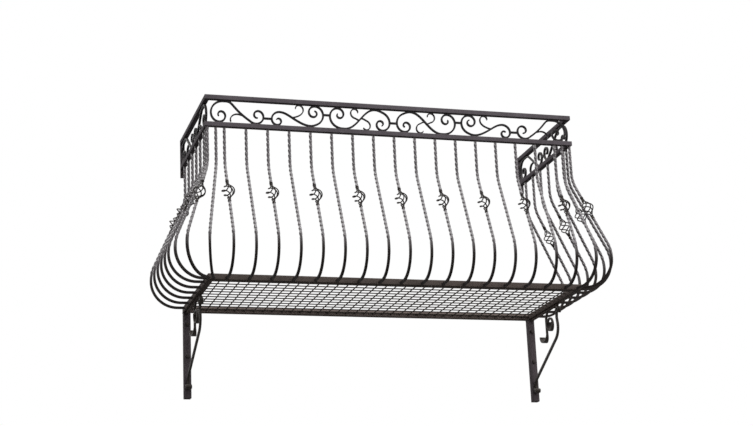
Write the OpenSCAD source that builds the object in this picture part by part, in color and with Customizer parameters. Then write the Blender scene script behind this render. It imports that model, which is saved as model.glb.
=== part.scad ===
/* [Railing] */
// Width over the two side rails
rail_w = 2032; // [1600:1:2600]
// Depth from the wall to the front of the rails
rail_d = 749.3; // [600:0.1:1000]
// Height of the handrail top above the underside of the floor frame
rail_h = 985; // [900:0.25:1150]
// Clear height of the scroll band under the handrail
band_h = 122; // [100:0.05:180]
// Side of the square rails
rail_t = 25.4; // [20:0.1:40]

/* [Floor] */
// Distance the floor frame sits inside the rails
frame_set = 4.8; // [0:0.1:20]
// Side of the square bars of the floor frame
frame_t = 31.75; // [28:0.05:40]
// Spacing of the wires that run from the wall to the front
wire_pitch = 52.1; // [38:0.1:76]
// Spacing of the wires that run along the wall
cross_pitch = 55; // [38:0.1:76]
// Thickness of the floor wires
wire = 6.35; // [5:0.05:8]

/* [Balusters] */
// Side of the square baluster bars
bar = 12.7; // [10:0.1:16]
// Spacing of the balusters
bay = 114.3; // [100:0.1:125]
// Distance from the wall to the first side baluster
side_first = 76.2; // [60:0.1:100]
// Reach of the belly beyond the rail axis
belly_out = 190; // [175:1:210]
// Height of the knee where the bars start to lean out
knee_z = 610; // [595:1:650]
// Height of the outer shoulder of the belly
belly_z = 197; // [192:1:220]
// Height of the heel under the belly
heel_z = 9; // [7:0.5:12]
// Height of the bar centres where they meet the frame
foot_z = 11; // [9:0.1:20]
// Bend radius at the knee
knee_r = 200; // [100:1:250]
// Bend radius at the outer shoulder
belly_r = 190; // [150:1:200]
// Bend radius at the heel
heel_r = 140; // [110:1:142]
// Plan angle of the bars beside each corner
fan_turn = 22.5; // [15:0.5:30]
// Distance of their feet from the frame corner
fan_foot = 28; // [24:0.5:40]

/* [Baskets] */
// Length of a basket over its collars
basket_len = 145; // [120:1:160]
// Width of a basket
basket_d = 73; // [55:1:80]
// Height of the basket centres
basket_z = 445; // [425:1:455]
// Thickness of a basket rod
basket_rod = 6.35; // [5:0.05:8]
// Turn of the rods between the collars
basket_turn = 450; // [300:10:480]
// Width of a basket collar
collar_d = 19; // [18:0.5:24]
// Length of a basket collar
collar_len = 9; // [6:0.5:14]

/* [Scroll band] */
// Thickness of the scroll bars
scroll_t = 9.5; // [8:0.1:12]
// Thickness of the thin branches
branch_t = 6.35; // [5:0.05:8]
// Depth of the scroll bars from front to back
scroll_deep = 12.7; // [10:0.1:20]

/* [Wall brackets] */
// Side of the square bracket legs
leg_t = 38.1; // [32:0.1:50]
// Length of the bracket legs below the floor frame
leg_len = 472; // [440:1:560]
// Distance from the wall to the end of the bracket arms
arm_reach = 440; // [390:1:500]
// Side of the bracket bars
brace_t = 12.7; // [10:0.1:14]
// Height of the foot of the brace above the end of the leg
brace_foot = 62; // [40:1:90]
// Bend radius at the foot of the brace
brace_bend = 50; // [40:1:60]
// Drop of the shoulder of the brace
brace_drop = 160; // [140:1:190]
// Radius of the eye that ends the brace
eye_r = 22; // [18:0.5:26]
// Distance of the hook from the end of the arm
hook_set = 178; // [160:1:200]
// Distance by which the hook bar leans out to its top
hook_lean = 28; // [5:1:34]
// Drop of the centre of the hook
hook_drop = 132; // [125:1:150]
// Radius of the hook
hook_r = 38; // [30:0.5:48]
// Drop of the centre of the ring beside the hook
curl_drop = 96; // [80:1:110]
// Radius of the ring
curl_r = 46; // [36:0.5:50]
// Width to which the rolled ends of the bracket bars are spread
spread_w = 34; // [20:0.5:38]

/* [Wall fixing] */
// Width of the flat wall bars
wall_bar_w = 25.4; // [22:0.1:40]
// Thickness of the flat wall bars
wall_bar_t = 9.5; // [8:0.1:13]
// Height of the lower end of the wall bars
wall_bar_z = 765; // [720:1:780]
// Diameter of the fixing holes
hole_d = 11; // [9:0.1:14]
// Distance of the outer holes of the rear bar from its ends
hole_edge = 96.8; // [60:0.1:150]

/* [Hidden] */
$fn = 72;

rail_x = (rail_w - rail_t) / 2;
rail_y = rail_d - rail_t / 2;
low_z = rail_h - rail_t - band_h;
frame_x = rail_w / 2 - frame_set;
frame_y = rail_d - frame_set;
ledger_pitch = (frame_x - hole_edge) / 1.5;
leg_x = frame_x - leg_t / 2;
corners = [[-frame_x, -frame_y], [frame_x, -frame_y], [frame_x, 0], [-frame_x, 0]];
inward = [[1, 1], [-1, 1], [-1, -1], [1, -1]];
bite = 0.8;
arc_step = 3.5;
grid_gap = 1.5;

slope = atan2(belly_out, knee_z - belly_z);
belly_t = belly_r * tan(slope / 2);
front_n = floor((rail_x - 0.75 * bay) / bay);
side_n = floor((rail_y - 0.75 * bay - side_first) / bay);
fan_x = (front_n * bay + rail_x) / 2;
fan_y = (side_first + side_n * bay + rail_y) / 2;

// Volutes of the drawn band: centre x, centre height above mid band, outer and inner radius, start angle, sweep
drawn_x = 1003.3;
unit_1 = [[-932.74, -15.7, 73.7, 10.6, 73.3, 506], [-737.93, -9.3, 49.8, 12.4, -140.9, 418], 0.31, 0.75];
unit_2 = [[-628.67, -32.8, 50.8, 9.3, 62.3, 440], [-434, 17.8, 63, 11.8, -81, 518], 0.22, 0.37];
unit_3 = [[-297.35, 19.5, 75.2, 9.7, -74.1, -501], [-68.57, -18.1, 65, 9.2, 83, -505], 0.38, 0.47];
// Branches: volute, place along the link, side they leave to, two handle lengths
branch_1 = [[-866.6, -46.7, 42.5, 10.8, 63.9, 127], 0.875, -1, 0.1, 0.26];
branch_2 = [[-518, 36.2, 31.2, 14.5, -59.6, 240], 0.335, 1, 0.02, 0.39];
branch_3 = [[-208.8, 36.6, 30.4, 14.7, -94.2, -269], 0.44, -1, 0.39, 0.41];
branch_4 = [[-153.2, -35.1, 31.5, 14.8, 80.7, -230], 0.445, 1, 0.4, 0.4];
stretch = (rail_x - drawn_x) / 3;
side_gap = 40;
side_end = 20.4;
side_from = rail_y - side_end;
side_to = wall_bar_t + scroll_t / 2;
side_half = (side_from - side_to) / 2;

bronze = [0.2, 0.17, 0.18];
bronze_lit = [0.27, 0.24, 0.26];
bronze_dark = [0.13, 0.11, 0.11];

// Points along a volute from its outer end to its eye
function volute(v, n) = [
    for (i = [0 : n])
        let (r = v[2] * pow(v[3] / v[2], i / n), a = v[4] + v[5] * i / n)
            [v[0] + r * cos(a), v[1] + r * sin(a)]
];
function back(p) = [for (i = [len(p) - 1 : -1 : 0]) p[i]];
function away(p) = (p[0] - p[1]) / norm(p[0] - p[1]);
function cubic(q, t) =
    pow(1 - t, 3) * q[0] + 3 * pow(1 - t, 2) * t * q[1] + 3 * (1 - t) * t * t * q[2] + pow(t, 3) * q[3];
function handles(p, dp, hp, q, dq, hq) =
    let (l = norm(q - p)) [p, p + dp * hp * l, q + dq * hq * l, q];
function moved(v, dx) = [v[0] + dx, v[1], v[2], v[3], v[4], v[5]];
// Control points of the sweep between the two volutes of a unit
function sweep_of(u, da, db) =
    let (a = volute(moved(u[0], da), 30), b = volute(moved(u[1], db), 30))
        handles(a[0], away(a), u[2], b[0], away(b), u[3]);
function unit_path(u, da, db) =
    let (q = sweep_of(u, da, db))
        concat(
            back(volute(moved(u[0], da), 30)),
            [for (i = [1 : 13]) cubic(q, i / 14)],
            volute(moved(u[1], db), 30)
        );
function branch_path(u, g, da, db) =
    let (
        q = sweep_of(u, da, db),
        shift = da + (db - da) * g[1],
        v = volute(moved(g[0], shift), 16),
        p = cubic(q, g[1]),
        d = (cubic(q, g[1] + 0.01) - cubic(q, g[1] - 0.01)) * g[2],
        h = handles(p, d / norm(d), g[3], v[0], away(v), g[4])
    )
        concat([for (i = [0 : 9]) cubic(h, i / 10)], v);
// Heights drawn to fill the band between the rails
function seated(p, lo, hi) =
    let (z0 = low_z + scroll_t / 2 - bite, z1 = low_z + band_h - scroll_t / 2 + bite)
        [for (q = p) [q.x, z0 + (q.y - lo) * (z1 - z0) / (hi - lo)]];
function left_of(p) = min([for (q = p) q.x]);
function right_of(p) = max([for (q = p) q.x]);
function low_of(p) = min([for (q = p) q.y]);
function high_of(p) = max([for (q = p) q.y]);
function across(p, i) =
    let (d = p[min(i + 1, len(p) - 1)] - p[max(i - 1, 0)]) [-d.y, d.x] / norm(d);
function ribbon(p, half) =
    concat(
        [for (i = [0 : len(p) - 1]) p[i] + across(p, i) * half[i]],
        [for (i = [len(p) - 1 : -1 : 0]) p[i] - across(p, i) * half[i]]
    );
// Half widths that thin out towards the first end, the last end or both
function taper(n, w, first, last) =
    [for (i = [0 : n - 1]) w / 2 * min(1, first + 4 * i / n, last + 4 * (n - 1 - i) / n)];

// Centre line through corner points given with their bend radii
function bent(c) =
    concat(
        [[c[0][0], c[0][1]]],
        [for (i = [1 : len(c) - 2]) each corner_arc(c[i - 1], c[i], c[i + 1])],
        [[c[len(c) - 1][0], c[len(c) - 1][1]]]
    );
function corner_arc(a, b, c) =
    let (
        u = [b[0] - a[0], b[1] - a[1]],
        v = [c[0] - b[0], c[1] - b[1]],
        a0 = atan2(u.y, u.x),
        turned = atan2(u.x * v.y - u.y * v.x, u * v),
        s = sign(turned),
        t = b[2] * tan(abs(turned) / 2),
        start = [b[0], b[1]] - u / norm(u) * t,
        mid = start + s * b[2] * [-sin(a0), cos(a0)],
        n = ceil(abs(turned) / arc_step)
    )
        [for (i = [0 : n]) let (g = a0 + turned * i / n) mid + s * b[2] * [sin(g), -cos(g)]];

// Everything is drawn from the underside of the floor frame and then centred on the rear bar
module from_frame() {
    translate([0, 0, -frame_t / 2])
        children();
}

module on_right(side) {
    mirror([side < 0 ? 0 : 1, 0, 0])
        children();
}

// Plan of a mitred front rail and of its left side rail
function rail_plan_front() =
    let (w = rail_w / 2)
        [[-w, -rail_d], [w, -rail_d], [w - rail_t, rail_t - rail_d], [rail_t - w, rail_t - rail_d]];
function rail_plan_side() =
    let (w = rail_w / 2)
        [[-w, -rail_d], [rail_t - w, rail_t - rail_d], [rail_t - w, -wall_bar_t], [-w, -wall_bar_t]];

module rail(z, plan) {
    from_frame()
        translate([0, 0, z])
            linear_extrude(rail_t)
                polygon(plan);
}

module handrail_front() {
    color(bronze_lit)
        rail(rail_h - rail_t, rail_plan_front());
}

module handrail_left() {
    color(bronze_lit)
        rail(rail_h - rail_t, rail_plan_side());
}

module handrail_right() {
    color(bronze_lit)
        mirror([1, 0, 0])
            rail(rail_h - rail_t, rail_plan_side());
}

module lower_rail_front() {
    color(bronze_lit)
        rail(low_z - rail_t, rail_plan_front());
}

module lower_rail_left() {
    color(bronze_lit)
        rail(low_z - rail_t, rail_plan_side());
}

module lower_rail_right() {
    color(bronze_lit)
        mirror([1, 0, 0])
            rail(low_z - rail_t, rail_plan_side());
}

// Flat bar against the wall that carries the ends of the rails, with two fixing holes
module wall_bar(side) {
    from_frame()
        difference() {
            translate([side * rail_x - wall_bar_w / 2, -wall_bar_t, wall_bar_z])
                cube([wall_bar_w, wall_bar_t, rail_h - wall_bar_z]);
            for (z = [(wall_bar_z + low_z - rail_t) / 2, low_z + 0.73 * band_h])
                translate([side * rail_x, 1, z])
                    rotate([90, 0, 0])
                        cylinder(d = hole_d, h = wall_bar_t + 2);
        }
}

module wall_bar_left() {
    color(bronze)
        wall_bar(-1);
}

module wall_bar_right() {
    color(bronze)
        wall_bar(1);
}

module band_clip() {
    translate([-rail_w, low_z])
        square([2 * rail_w, band_h]);
}

// One scroll of the band with its branches, drawn in its own plane
module unit(u, branches, da, db) {
    p = unit_path(u, da, db);
    lo = low_of(p);
    hi = high_of(p);
    intersection() {
        union() {
            polygon(ribbon(seated(p, lo, hi), taper(len(p), scroll_t, 0.6, 0.6)));
            for (g = branches)
                let (b = branch_path(u, g, da, db))
                    polygon(ribbon(seated(b, lo, hi), taper(len(b), branch_t, 1, 0.6)));
        }
        band_clip();
    }
}

module unit_at(i) {
    if (i == 1)
        unit(unit_1, [branch_1], -3 * stretch, -2 * stretch);
    if (i == 2)
        unit(unit_2, [branch_2], -2 * stretch, -stretch);
    if (i == 3)
        unit(unit_3, [branch_3, branch_4], -stretch, 0);
}

module in_front_plane() {
    from_frame()
        translate([0, -rail_y, 0])
            rotate([90, 0, 0])
                linear_extrude(scroll_deep, center = true)
                    children();
}

module frieze_scroll_1() {
    color(bronze)
        in_front_plane()
            unit_at(1);
}

module frieze_scroll_2() {
    color(bronze)
        in_front_plane()
            unit_at(2);
}

module frieze_scroll_3() {
    color(bronze)
        in_front_plane()
            unit_at(3);
}

module frieze_scroll_4() {
    color(bronze)
        mirror([1, 0, 0])
            in_front_plane()
                unit_at(3);
}

module frieze_scroll_5() {
    color(bronze)
        mirror([1, 0, 0])
            in_front_plane()
                unit_at(2);
}

module frieze_scroll_6() {
    color(bronze)
        mirror([1, 0, 0])
            in_front_plane()
                unit_at(1);
}

// The scroll pair of a side return, mirrored about the middle of the side
module side_unit() {
    p = unit_path(unit_1, 0, 0);
    da = -side_half - left_of(p);
    db = -side_gap / 2 - right_of(p);
    unit(unit_1, [branch_1], da, db);
}

module in_side_plane() {
    from_frame()
        translate([-rail_x, -side_to - side_half, 0])
            rotate([90, 0, 90])
                linear_extrude(scroll_deep, center = true)
                    children();
}

module side_scrolls() {
    in_side_plane()
        side_unit();
    in_side_plane()
        mirror([1, 0])
            side_unit();
}

module frieze_scrolls_left() {
    color(bronze)
        side_scrolls();
}

module frieze_scrolls_right() {
    color(bronze)
        mirror([1, 0, 0])
            side_scrolls();
}

module link_bar(x0, x1, z) {
    translate([x0, low_z + z - scroll_t / 2])
        square([x1 - x0, scroll_t]);
}

// Short links that join neighbouring scrolls
module front_links() {
    p1 = right_of(unit_path(unit_1, -3 * stretch, -2 * stretch));
    p2 = unit_path(unit_2, -2 * stretch, -stretch);
    p3 = unit_path(unit_3, -stretch, 0);
    link_bar(p1, left_of(p2), 0.29 * band_h);
    link_bar(right_of(p2), left_of(p3), 0.6 * band_h);
    link_bar(right_of(p3), bite, 0.4 * band_h);
}

module side_link() {
    link_bar(-side_gap / 2, bite, 0.33 * band_h);
}

module frieze_links() {
    color(bronze_dark) {
        in_front_plane()
            difference() {
                union() {
                    front_links();
                    mirror([1, 0])
                        front_links();
                }
                for (i = [1 : 3], m = [0, 1])
                    mirror([m, 0])
                        unit_at(i);
            }
        for (side = [-1, 1])
            on_right(side)
                in_side_plane()
                    difference() {
                        union() {
                            side_link();
                            mirror([1, 0])
                                side_link();
                        }
                        for (m = [0, 1])
                            mirror([m, 0])
                                side_unit();
                    }
    }
}

// Side view of a whole baluster: distance beyond the rail axis and height, down to a foot inside the frame
function belly_line(foot_out) =
    let (d = belly_out - foot_out, past = bar / d)
        bent([
            [0, low_z - rail_t],
            [0, knee_z, knee_r],
            [belly_out, belly_z, belly_r],
            [belly_out, heel_z, heel_r],
            [foot_out - past * d, foot_z - past * (heel_z - foot_z)]
        ]);

module bar_of(line) {
    rotate([90, 0, 0])
        linear_extrude(bar, center = true)
            polygon(ribbon(line, [for (p = line) bar / 2]));
}

module at_basket() {
    translate([(knee_z - basket_z) * tan(slope), 0, basket_z])
        rotate([0, -slope, 0])
            children();
}

module bulge(b) {
    translate([b[0].x, b[0].y, 0])
        rotate([0, 0, b[1]])
            children();
}

module frame_block() {
    translate([-frame_x, -frame_y, -bar])
        cube([2 * frame_x, frame_y, frame_t + 2 * bar]);
}

// A bar whose belly and foot lie in one upright plane
module plain_bar(b) {
    from_frame()
        difference() {
            bulge(b)
                bar_of(belly_line(b[2]));
            frame_block();
        }
}

module basket_bar(b) {
    from_frame()
        difference() {
            bulge(b)
                difference() {
                    bar_of(belly_line(b[2]));
                    at_basket()
                        cube([4 * bar, 2 * bar, basket_len], center = true);
                }
            frame_block();
        }
}

// A corner bar turns in plan at its shoulder, so that its foot reaches the frame
module turned_bar(b, basketed) {
    from = b[0] + belly_out * [cos(b[1]), sin(b[1])];
    d = norm(b[2] - from);
    shoulder = belly_z - belly_t;
    from_frame() {
        difference() {
            bulge(b)
                bar_of(bent([
                    [0, low_z - rail_t],
                    [0, knee_z, knee_r],
                    [belly_out, belly_z, belly_r],
                    [belly_out, shoulder - bite]
                ]));
            if (basketed)
                bulge(b)
                    at_basket()
                        cube([4 * bar, 2 * bar, basket_len], center = true);
        }
        difference() {
            translate([from.x, from.y, 0])
                rotate([0, 0, atan2(b[2].y - from.y, b[2].x - from.x)])
                    bar_of(bent([
                        [0, shoulder + bite],
                        [0, heel_z, heel_r],
                        [d + bar, foot_z - bar / d * (heel_z - foot_z)]
                    ]));
            frame_block();
        }
    }
}

rod_steps = 16;
function rod_angle(t, k) = 90 * k - basket_turn * (t - 0.5);
function rod_centre(t, k) =
    let (
        r = (collar_d - basket_rod) / 2 - 1 + (basket_d - collar_d) / 2 * pow(sin(180 * t), 4),
        a = rod_angle(t, k)
    )
        [r * cos(a), r * sin(a), (t - 0.5) * (basket_len - collar_len)];
function rod_ring(t, k) =
    let (
        a = rod_angle(t, k),
        c = rod_centre(t, k),
        d = rod_centre(min(1, t + 0.02), k) - rod_centre(max(0, t - 0.02), k),
        w = d / norm(d),
        o = cross([-sin(a), cos(a), 0], w),
        u = o / norm(o),
        v = cross(w, u),
        h = basket_rod / 2
    )
        [for (s = [[1, 1], [-1, 1], [-1, -1], [1, -1]]) c + h * (s.x * u + s.y * v)];

// A square or flat bar drawn through the corners of its cross-sections
module drawn(rings) {
    n = 4 * len(rings);
    polyhedron(
        points = [for (r = rings) each r],
        faces = concat(
            [[0, 1, 2, 3], [n - 1, n - 2, n - 3, n - 4]],
            [
                for (i = [0 : len(rings) - 2], j = [0 : 3])
                    let (a = 4 * i + j, b = 4 * i + (j + 1) % 4)
                        each [[a, b + 4, b], [a, a + 4, b + 4]]
            ]
        ),
        convexity = 6
    );
}

// One square rod of a basket, bowed and wound from collar to collar
module basket_rod_at(k) {
    drawn([for (i = [0 : rod_steps]) rod_ring(i / rod_steps, k)]);
}

module basket(b) {
    from_frame()
        bulge(b)
            at_basket() {
                for (k = [0 : 3])
                    basket_rod_at(k);
                for (m = [0, 1])
                    mirror([0, 0, m])
                        translate([0, 0, basket_len / 2 - collar_len])
                            cylinder(d = collar_d, h = collar_len);
            }
}

// Place and bulge direction of every bar, with the reach of its foot or, at the corners, the place of its foot
function front_bar(k) = [[k * bay, -rail_y], -90, frame_y - rail_y];
function side_bar(j) = [[-rail_x, -side_first - j * bay], 180, frame_x - rail_x];
function corner_bar() = [[-rail_x, -rail_y], -135, [-frame_x, -frame_y]];
function fan_front() = [[-fan_x, -rail_y], -90 - fan_turn, [fan_foot - frame_x, -frame_y]];
function fan_side() = [[-rail_x, -fan_y], -180 + fan_turn, [-frame_x, fan_foot - frame_y]];
front_even = [for (k = [-front_n : front_n]) if (k % 2 == 0) k];
front_odd = [for (k = [-front_n : front_n]) if (k % 2 != 0) k];
side_even = [for (j = [0 : side_n]) if (j % 2 == 0) j];
side_odd = [for (j = [0 : side_n]) if (j % 2 != 0) j];

module front_balusters_plain() {
    color(bronze)
        for (k = front_odd)
            plain_bar(front_bar(k));
}

module front_balusters_basket() {
    color(bronze)
        for (k = front_even)
            basket_bar(front_bar(k));
}

module front_baskets() {
    color(bronze_dark)
        for (k = front_even)
            basket(front_bar(k));
}

module side_plain() {
    for (j = side_even)
        plain_bar(side_bar(j));
}

module side_basket() {
    for (j = side_odd)
        basket_bar(side_bar(j));
}

module corner_and_side_baskets() {
    for (j = side_odd)
        basket(side_bar(j));
    basket(corner_bar());
}

module fan_pair() {
    turned_bar(fan_front(), false);
    turned_bar(fan_side(), false);
}

module left_balusters_plain() {
    color(bronze)
        side_plain();
}

module left_balusters_basket() {
    color(bronze)
        side_basket();
}

module left_baskets() {
    color(bronze_dark)
        corner_and_side_baskets();
}

module right_balusters_plain() {
    color(bronze)
        mirror([1, 0, 0])
            side_plain();
}

module right_balusters_basket() {
    color(bronze)
        mirror([1, 0, 0])
            side_basket();
}

module right_baskets() {
    color(bronze_dark)
        mirror([1, 0, 0])
            corner_and_side_baskets();
}

module corner_baluster_left() {
    color(bronze)
        turned_bar(corner_bar(), true);
}

module corner_baluster_right() {
    color(bronze)
        mirror([1, 0, 0])
            turned_bar(corner_bar(), true);
}

module fan_balusters_left() {
    color(bronze)
        fan_pair();
}

module fan_balusters_right() {
    color(bronze)
        mirror([1, 0, 0])
            fan_pair();
}

// Plan of one mitred side of the floor frame
function side_plan(i) =
    let (j = (i + 1) % 4)
        [corners[i], corners[j], corners[j] + frame_t * inward[j], corners[i] + frame_t * inward[i]];

module frame_side(i) {
    from_frame()
        linear_extrude(frame_t)
            polygon(side_plan(i));
}

module floor_frame_front() {
    color(bronze)
        frame_side(0);
}

module floor_frame_right() {
    color(bronze)
        frame_side(1);
}

module floor_frame_left() {
    color(bronze)
        frame_side(3);
}

module rear_ledger() {
    color(bronze)
        difference() {
            frame_side(2);
            for (i = [-1.5 : 1.5])
                translate([i * ledger_pitch, 1, 0])
                    rotate([90, 0, 0])
                        cylinder(d = hole_d, h = frame_t + 2);
        }
}

// Half of the welded wire floor inside the frame, with its first long wire at x0
module grid_half(x0) {
    x1 = frame_x - frame_t;
    y0 = frame_t + grid_gap;
    y1 = frame_y - frame_t;
    z0 = frame_t / 2 - wire + bite / 2;
    nx = floor((x1 - wire / 2) / wire_pitch);
    ny = floor((y1 - y0 - wire) / cross_pitch);
    from_frame() {
        for (i = [x0 : nx])
            translate([-i * wire_pitch - wire / 2, -y1, z0])
                cube([wire, y1 - frame_t, wire]);
        for (j = [0 : ny])
            translate([-x1, -y0 - wire - j * cross_pitch, z0 + wire - bite])
                cube([x1 + (0.5 - x0) * wire, wire, wire]);
    }
}

module floor_grid_left() {
    color(bronze_dark)
        grid_half(0);
}

module floor_grid_right() {
    color(bronze_dark)
        mirror([1, 0, 0])
            grid_half(1);
}

// Square leg of a wall bracket with two fixing holes
module leg() {
    from_frame()
        difference() {
            translate([-frame_x, -leg_t, -leg_len])
                cube([leg_t, leg_t, leg_len]);
            for (z = [0.15, 0.52])
                translate([-leg_x, 1, -z * leg_len])
                    rotate([90, 0, 0])
                        cylinder(d = hole_d, h = leg_t + 2);
        }
}

module arm() {
    from_frame()
        translate([-leg_x - brace_t / 2, -arm_reach, -brace_t])
            cube([brace_t, arm_reach - leg_t, brace_t]);
}

// Lines of the bracket bars, drawn with the distance from the wall and the height
arm_eye = [-arm_reach, -brace_t - eye_r - 2.5];
hook_y = hook_set - arm_reach;
brace_rise = bent([
    [-leg_t - brace_t / 2, brace_foot - leg_len],
    [-leg_t - brace_t / 2, brace_foot + brace_bend - leg_len, brace_bend],
    [arm_eye.x + 0.3 * eye_r, -brace_drop, 1.5 * brace_bend],
    [arm_eye.x + 1.25 * eye_r, arm_eye.y - 1.55 * eye_r]
]);
hook_fall = bent([
    [hook_y - hook_lean, 2 - brace_t],
    [hook_y, -brace_t - hook_lean, 1.4 * hook_lean],
    [hook_y, 1 - hook_drop]
]);
brace_line = concat(brace_rise, volute([arm_eye.x, arm_eye.y, eye_r, eye_r / 3, -8, 400], 26));
hook_line = concat(hook_fall, volute([hook_y + hook_r, -hook_drop, hook_r, 0.9 * hook_r, 180, 165], 16));
curl_line = volute([hook_y - scroll_t + bite - curl_r, -curl_drop, curl_r, curl_r / 2, 0, 420], 36);

// Cross-sections of a bracket bar that is spread to a thin wide end from point m of its line
function spread_rings(p, t, m) =
    [
        for (i = [0 : len(p) - 1])
            let (
                s = max(0, (i - m) / (len(p) - 1 - m)),
                a = across(p, i) * (1 - s / 2) * t / 2,
                w = (1 - s) * brace_t / 2 + s * spread_w / 2
            )
                [for (q = [[1, 1], [-1, 1], [-1, -1], [1, -1]]) [q.x * w, p[i].x - q.y * a.x, p[i].y - q.y * a.y]]
    ];

// Bars of a bracket, cut off flush under its arm
module under_arm() {
    from_frame()
        translate([-leg_x, 0, 0])
            difference() {
                children();
                translate([-spread_w, -arm_reach, -brace_t])
                    cube([2 * spread_w, arm_reach, 2 * brace_t]);
            }
}

module brace() {
    under_arm()
        drawn(spread_rings(brace_line, brace_t, len(brace_rise)));
}

module bracket_scroll() {
    under_arm() {
        drawn(spread_rings(hook_line, scroll_t, len(hook_fall)));
        drawn(spread_rings(curl_line, scroll_t, 14));
    }
}

module bracket_leg_left() {
    color(bronze)
        leg();
}

module bracket_leg_right() {
    color(bronze)
        mirror([1, 0, 0])
            leg();
}

module bracket_arm_left() {
    color(bronze)
        arm();
}

module bracket_arm_right() {
    color(bronze)
        mirror([1, 0, 0])
            arm();
}

module bracket_brace_left() {
    color(bronze)
        brace();
}

module bracket_brace_right() {
    color(bronze)
        mirror([1, 0, 0])
            brace();
}

module bracket_scroll_left() {
    color(bronze_dark)
        bracket_scroll();
}

module bracket_scroll_right() {
    color(bronze_dark)
        mirror([1, 0, 0])
            bracket_scroll();
}

handrail_front();
handrail_left();
handrail_right();
lower_rail_front();
lower_rail_left();
lower_rail_right();
wall_bar_left();
wall_bar_right();
frieze_scroll_1();
frieze_scroll_2();
frieze_scroll_3();
frieze_scroll_4();
frieze_scroll_5();
frieze_scroll_6();
frieze_scrolls_left();
frieze_scrolls_right();
frieze_links();
front_balusters_plain();
front_balusters_basket();
front_baskets();
left_balusters_plain();
left_balusters_basket();
left_baskets();
right_balusters_plain();
right_balusters_basket();
right_baskets();
corner_baluster_left();
corner_baluster_right();
fan_balusters_left();
fan_balusters_right();
floor_frame_front();
floor_frame_left();
floor_frame_right();
rear_ledger();
floor_grid_left();
floor_grid_right();
bracket_leg_left();
bracket_leg_right();
bracket_arm_left();
bracket_arm_right();
bracket_brace_left();
bracket_brace_right();
bracket_scroll_left();
bracket_scroll_right();
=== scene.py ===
import math

import bmesh
import bpy
from mathutils import Matrix, Vector


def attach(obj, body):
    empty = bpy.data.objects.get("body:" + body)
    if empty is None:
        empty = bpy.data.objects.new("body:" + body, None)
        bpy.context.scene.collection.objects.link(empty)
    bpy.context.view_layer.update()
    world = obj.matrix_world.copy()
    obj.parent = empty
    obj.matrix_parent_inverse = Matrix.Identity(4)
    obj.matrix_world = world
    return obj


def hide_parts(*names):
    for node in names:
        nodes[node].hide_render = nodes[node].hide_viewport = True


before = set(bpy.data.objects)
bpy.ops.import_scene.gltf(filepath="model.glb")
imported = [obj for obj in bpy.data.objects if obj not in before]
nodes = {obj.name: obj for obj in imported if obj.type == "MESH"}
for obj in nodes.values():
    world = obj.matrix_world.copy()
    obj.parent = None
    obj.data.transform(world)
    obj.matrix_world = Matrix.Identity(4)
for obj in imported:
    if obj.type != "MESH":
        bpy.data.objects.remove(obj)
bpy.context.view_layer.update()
scene = bpy.context.scene

MM = 0.001
MIRROR = Matrix.Scale(-1, 4, (1, 0, 0))
SIDES = {"left": -1, "right": 1}

# Sizes of the balcony in mm, as in the construction.
# Heights are above the underside of the floor frame.
RAIL_W = 2032
RAIL_D = 749.3
RAIL_H = 985
BAND_H = 122
RAIL_T = 25.4
FRAME_SET = 4.8
FRAME_T = 31.75
WIRE_PITCH = 52.1
CROSS_PITCH = 55
GRID_GAP = 1.5
WIRE = 6.35
BAR = 12.7
BAY = 114.3
SIDE_FIRST = 76.2
BELLY_OUT = 190
KNEE_Z = 610
BELLY_Z = 197
HEEL_Z = 9
FOOT_Z = 11
KNEE_R = 200
BELLY_R = 190
HEEL_R = 140
FAN_TURN = 22.5
FAN_FOOT = 28
BASKET_LEN = 145
BASKET_D = 73
BASKET_Z = 445
BASKET_ROD = 6.35
BASKET_TURN = -450
COLLAR_D = 19
COLLAR_LEN = 9
SCROLL_T = 9.5
BRANCH_T = 6.35
SCROLL_DEEP = 12.7
SIDE_GAP = 40
SIDE_END = 20.4
LEG_T = 38.1
LEG_LEN = 472
ARM_REACH = 440
BRACE_T = 12.7
BRACE_FOOT = 62
BRACE_BEND = 50
BRACE_DROP = 160
EYE_R = 22
HOOK_SET = 178
HOOK_LEAN = 28
HOOK_DROP = 132
HOOK_R = 38
CURL_DROP = 96
CURL_R = 46
SPREAD_W = 34
WALL_BAR_T = 9.5
WALL_BAR_Z = 765
HOLE_EDGE = 96.8
BITE = 0.8

# Bays on either side of the middle of the front, and along a side. Long wires of the
# floor on either side of the middle, and cross wires from the wall out
FRONT_N = 8
SIDE_N = 5
LONG_WIRES = 18
CROSS_WIRES = 12

# The origin lies at half the height of the floor frame
ORIGIN_Z = FRAME_T / 2
RAIL_X = (RAIL_W - RAIL_T) / 2
RAIL_Y = RAIL_D - RAIL_T / 2
LOW_Z = RAIL_H - RAIL_T - BAND_H
FRAME_X = RAIL_W / 2 - FRAME_SET
FRAME_Y = RAIL_D - FRAME_SET
LEG_X = FRAME_X - LEG_T / 2
FAN_X = (FRONT_N * BAY + RAIL_X) / 2
FAN_Y = (SIDE_FIRST + SIDE_N * BAY + RAIL_Y) / 2
LONG_Z = FRAME_T / 2 - WIRE / 2 + BITE / 2
CROSS_Z = FRAME_T / 2 + WIRE / 2 - BITE / 2
FIRST_CROSS = FRAME_T + GRID_GAP + WIRE / 2

# A bar leans out by SLOPE between its knee and its belly. At UPRIGHT_Z it stands
# upright, and below it turns back to the frame
SLOPE = math.atan2(BELLY_OUT, KNEE_Z - BELLY_Z)
UPRIGHT_Z = BELLY_Z - BELLY_R * math.tan(SLOPE / 2)

# The bars are twisted by a quarter turn every QUARTER mm, down to TWIST_END
QUARTER = 28.5
TWIST_TOP = LOW_Z - RAIL_T - 14
TWIST_END = 186
TWIST_STEP = QUARTER / 6.5
SMOOTH_STEP = 11.0

# A fan bar turns in plan over this length, from this far above UPRIGHT_Z
PLAN_TURN_ABOVE = 12
PLAN_TURN_RUN = 24

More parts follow.
